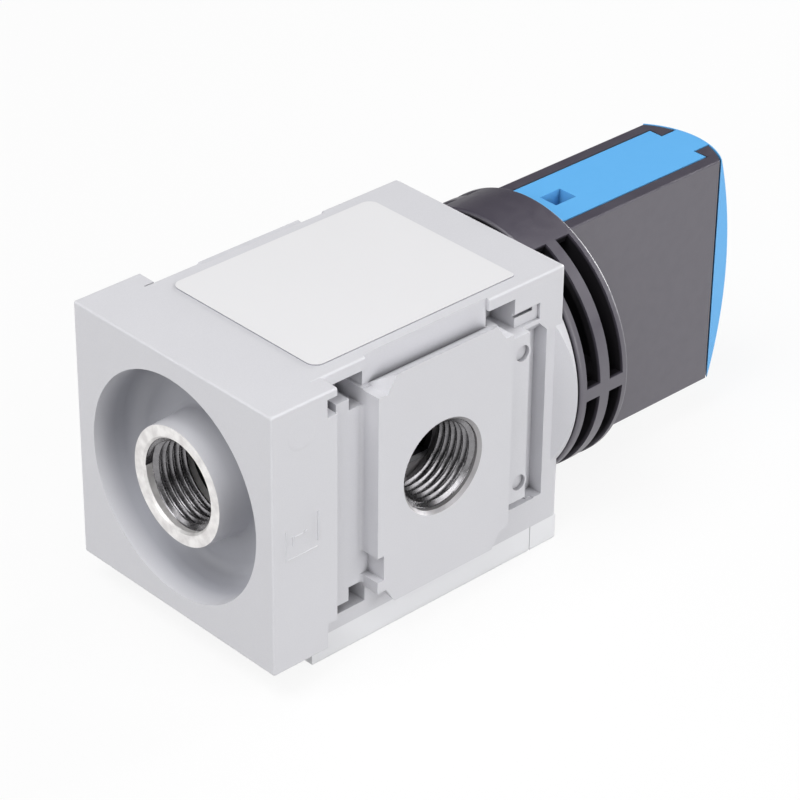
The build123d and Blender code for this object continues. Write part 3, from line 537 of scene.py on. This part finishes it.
def thread(shape, mouth_radius, length, to_world):
    """Right-hand ridge along its helix, cut to the cone of the port's mouth."""
    half = thread_profile()
    whole = [(-s, r) for s, r in reversed(half)] + half[1:]
    count = round((length - PITCH / 2 - THREAD_START) / PITCH * THREAD_STEPS)
    rings = []
    for step in range(count + 1):
        angle = step / THREAD_STEPS * math.tau
        middle = THREAD_START + PITCH * step / THREAD_STEPS
        fade = min(1.0, step / THREAD_FADE, (count - step) / THREAD_FADE)
        points = [(middle - PITCH / 2, THREAD_WALL)]
        for offset, radius in whole:
            station = middle + offset
            height = (THREAD_ROOT - radius) * fade
            points.append((station, min(THREAD_ROOT, max(THREAD_ROOT - height, mouth_radius - station))))
        points.append((middle + PITCH / 2, THREAD_WALL))
        ring = []
        for station, radius in points:
            local = Vector((station, radius * math.cos(angle), radius * math.sin(angle)))
            ring.append(shape.verts.new(to_world(local) * MM))
        rings.append(ring)
    bridge(shape, rings)


def spring(shape):
    """Round wire along a helix round the spindle."""
    count = SPRING_TURNS * SPRING_STEPS
    rise = SPRING_HEIGHT / SPRING_TURNS / math.tau
    rings = []
    for step in range(count + 1):
        angle = step / SPRING_STEPS * math.tau
        outward = Vector((0, math.cos(angle), math.sin(angle)))
        along = Vector((rise, -SPRING_RADIUS * math.sin(angle), SPRING_RADIUS * math.cos(angle)))
        across = along.normalized().cross(outward)
        station = SPRING_START + SPRING_HEIGHT * step / count
        middle = Vector((station, 0, AXIS_Z)) + outward * SPRING_RADIUS
        ring = []
        for side in range(WIRE_SIDES):
            turn = side / WIRE_SIDES * math.tau
            point = middle + (outward * math.cos(turn) + across * math.sin(turn)) * WIRE_RADIUS
            ring.append(shape.verts.new(point * MM))
        rings.append(ring)
    bridge(shape, rings)


def exhaust_place(local):
    """From the thread's own axis to the exhaust port."""
    return Vector((BOSS_FACE_X + local.x, local.y, AXIS_Z + local.z))


def near_port_place(local):
    """From the thread's own axis to the port on the near side."""
    return Vector((-local.y, BLOCK_SIDE_Y + local.x, AXIS_Z + local.z))


def far_port_place(local):
    """From the thread's own axis to the port on the far side."""
    return Vector((local.y, -BLOCK_SIDE_Y - local.x, AXIS_Z + local.z))


def on_side(shape, x, z, height):
    """Point over the near side, from the end block's face and underside."""
    return shape.verts.new(metres(BLOCK_FACE_X + x, BLOCK_SIDE_Y - height, BLOCK_BOTTOM_Z + z))


def raised_line(shape, points, top):
    """A low ridge with sloping flanks along points (x, z) on the near side of the body."""
    rings = []
    for index, (x, z) in enumerate(points):
        back = points[max(index - 1, 0)]
        ahead = points[min(index + 1, len(points) - 1)]
        along = Vector((ahead[0] - back[0], ahead[1] - back[1])).normalized()
        ring = []
        for side, height in ((-1.0, -SINK), (-0.5, top), (0.5, top), (1.0, -SINK)):
            reach = side * MARK_WIDTH / 2
            ring.append(on_side(shape, x - along.y * reach, z + along.x * reach, height))
        rings.append(ring)
    bridge(shape, rings)


def ejector_mark(shape):
    """Faint round pad of an ejector pin on the end block's side, lower at its upper edge."""
    centre_x, centre_z = PAD_CENTRE
    rings = []
    for radius, raised in (
        (PAD_RADIUS + PAD_FLANK, False),
        (PAD_RADIUS, True),
        (PAD_RADIUS - PAD_LAND, True),
    ):
        ring = []
        for step in range(PAD_STEPS):
            angle = step / PAD_STEPS * math.tau
            across, up = math.cos(angle), math.sin(angle)
            height = PAD_HEIGHT * (1 - PAD_FADE * up) if raised else -SINK
            ring.append(on_side(shape, centre_x + radius * across, centre_z + radius * up, height))
        rings.append(ring)
    bridge(shape, rings)


def insert_mark(shape):
    """Low frame left by a square mould insert, with short moulded lines inside."""
    left, low, right, top = INSERT
    raised_line(shape, [(left, top - INSERT_GAP), (left, low), (right, low)], MARK_HEIGHT)
    raised_line(shape, [(right, low + INSERT_GAP), (right, top)], WALL_HEIGHT)
    for start, end, height in INSERT_LINES:
        raised_line(shape, [start, end], height)


# Scene around the object


def world():
    """Dark surroundings, so that all light comes from the lamps and the floor."""
    new = bpy.data.worlds.new("studio")
    new.use_nodes = True
    new.node_tree.nodes["Background"].inputs["Strength"].default_value = 0.0
    bpy.context.scene.world = new


def seen_directly(tree):
    """1 for camera, mirror and glass rays."""
    path = tree.nodes.new("ShaderNodeLightPath")
    return largest(
        tree,
        path.outputs["Is Camera Ray"],
        path.outputs["Is Glossy Ray"],
        path.outputs["Is Transmission Ray"],
    )


def floor():
    """Plain pale floor that keeps a faint shadow of the object."""
    mesh = bpy.data.meshes.new("floor")
    shape = bmesh.new()
    bmesh.ops.create_grid(shape, x_segments=1, y_segments=1, size=FLOOR_SIZE)
    shape.to_mesh(mesh)
    shape.free()
    material, tree, shader = blank("floor_white")
    seen = seen_directly(tree)
    colour = blend_colours(tree, seen, (FLOOR_BOUNCE,) * 3, (FLOOR_SHOWN,) * 3)
    tree.links.new(colour, shader.inputs["Base Color"])
    shader.inputs["Roughness"].default_value = FLOOR_ROUGHNESS
    shader.inputs["Specular IOR Level"].default_value = 0.0
    glow = tree.nodes.new("ShaderNodeEmission")
    glow.inputs["Strength"].default_value = 1.0
    mix = tree.nodes.new("ShaderNodeMixShader")
    tree.links.new(math_node(tree, "MULTIPLY", seen, FLOOR_GLOW), mix.inputs["Fac"])
    tree.links.new(shader.outputs["BSDF"], mix.inputs[1])
    tree.links.new(glow.outputs["Emission"], mix.inputs[2])
    tree.links.new(mix.outputs["Shader"], tree.nodes["Material Output"].inputs["Surface"])
    mesh.materials.append(material)
    thing = bpy.data.objects.new("floor", mesh)
    bpy.context.scene.collection.objects.link(thing)


def softbox(name, azimuth, elevation, power):
    """A large soft lamp that faces the object."""
    turn, rise = math.radians(azimuth), math.radians(elevation)
    way = Vector((math.cos(rise) * math.cos(turn), math.cos(rise) * math.sin(turn), math.sin(rise)))
    data = bpy.data.lights.new(name, "AREA")
    data.shape = "SQUARE"
    data.size = LAMP_SIZE
    data.energy = power
    lamp = bpy.data.objects.new(name, data)
    lamp.location = Vector(LAMP_TARGET) + way * LAMP_DISTANCE
    lamp.rotation_mode = "QUATERNION"
    lamp.rotation_quaternion = (-way).to_track_quat("-Z", "Y")
    bpy.context.scene.collection.objects.link(lamp)


def camera():
    """Camera at the photo's angle."""
    yaw, pitch, roll = (math.radians(a) for a in (CAMERA_YAW, CAMERA_PITCH, CAMERA_ROLL))
    forward = Vector((math.cos(pitch) * math.cos(yaw), math.cos(pitch) * math.sin(yaw), -math.sin(pitch)))
    level_right = forward.cross(Vector((0, 0, 1))).normalized()
    level_up = level_right.cross(forward)
    right = level_right * math.cos(roll) + level_up * math.sin(roll)
    up = level_up * math.cos(roll) - level_right * math.sin(roll)
    turned = Matrix((right, up, -forward)).transposed()
    data = bpy.data.cameras.new("camera")
    data.sensor_width = SENSOR
    data.lens = CAMERA_LENS
    data.clip_start = CLIP_START * MM
    data.clip_end = CLIP_END * MM
    thing = bpy.data.objects.new("camera", data)
    thing.matrix_world = Matrix.Translation(metres(*CAMERA_PLACE)) @ turned.to_4x4()
    bpy.context.scene.collection.objects.link(thing)
    bpy.context.scene.camera = thing


paint = casting()
# bare thread metal, its dark grey a painted shade inside the bores
shaded_thread_metal = turned_metal(
    "shaded_bare_thread",
    light=(0.27, 0.265, 0.275),
    dark=(0.22, 0.215, 0.225),
    rough=(0.24, 0.31),
    mark_depth=0.0006,
)
steel = turned_metal(
    "turned_steel",
    light=(0.60, 0.60, 0.61),
    dark=(0.48, 0.48, 0.49),
    rough=(0.22, 0.38),
    mark_depth=0.004,
)
rubber = moulded(
    "black_rubber",
    light=(0.035, 0.035, 0.035),
    dark=(0.02, 0.02, 0.02),
    rough=(0.55, 0.7),
    grain_size=0.5,
)
black = black_moulding()
blue = moulded(
    "blue_moulding",
    light=(0.142, 0.470, 0.880),
    dark=(0.130, 0.450, 0.855),
    rough=(0.30, 0.40),
    grain_size=0.8,
    # painted shade in the slide's corners and notch
    deep=(0.0, 0.02, 0.08),
)
# the edge colour is painted shade on the film's side wall
film = label_film("label_film", top=(0.780, 0.776, 0.790), edge=(0.30, 0.30, 0.33))
pale = moulded(
    "pale_cover",
    light=(0.845, 0.848, 0.870),
    dark=(0.830, 0.833, 0.856),
    rough=(0.40, 0.52),
    grain_size=0.4,
)

dress(paint, "valve_body")
dress(film, "label_plate")
dress(pale, "back_cover", "back_end_cover")
dress(black, "knob", "bonnet", "thrust_washer", "main_poppet", "exhaust_poppet")
dress(blue, "lock_slide")
dress(
    steel,
    "bonnet_screws",
    "cam_sleeve",
    "cam_retaining_ring",
    "spindle",
    "drive_pin",
    "poppet_ring",
    "poppet_washer",
    "poppet_screw",
    "return_spring",
    "knob_screw",
)
dress(rubber, "bonnet_o_ring", "stem_o_ring", "main_seal", "exhaust_seal")

for name, (mouth_radius, length), to_world in (
    ("exhaust_thread", EXHAUST_THREAD, exhaust_place),
    ("near_port_thread", SIDE_THREAD, near_port_place),
    ("far_port_thread", SIDE_THREAD, far_port_place),
):
    build = partial(thread, mouth_radius=mouth_radius, length=length, to_world=to_world)
    piece(name, build, shaded_thread_metal, "valve_body")
for name, build in (
    ("ejector_mark", ejector_mark),
    ("insert_mark", insert_mark),
):
    piece(name, build, paint, "valve_body")

coil = piece("return_spring_coil", spring, steel, "valve_body")
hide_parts("return_spring")
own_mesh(coil)

bpy.context.scene.view_settings.view_transform = "Standard"
world()
floor()
for lamp in LAMPS:
    softbox(*lamp)
camera()
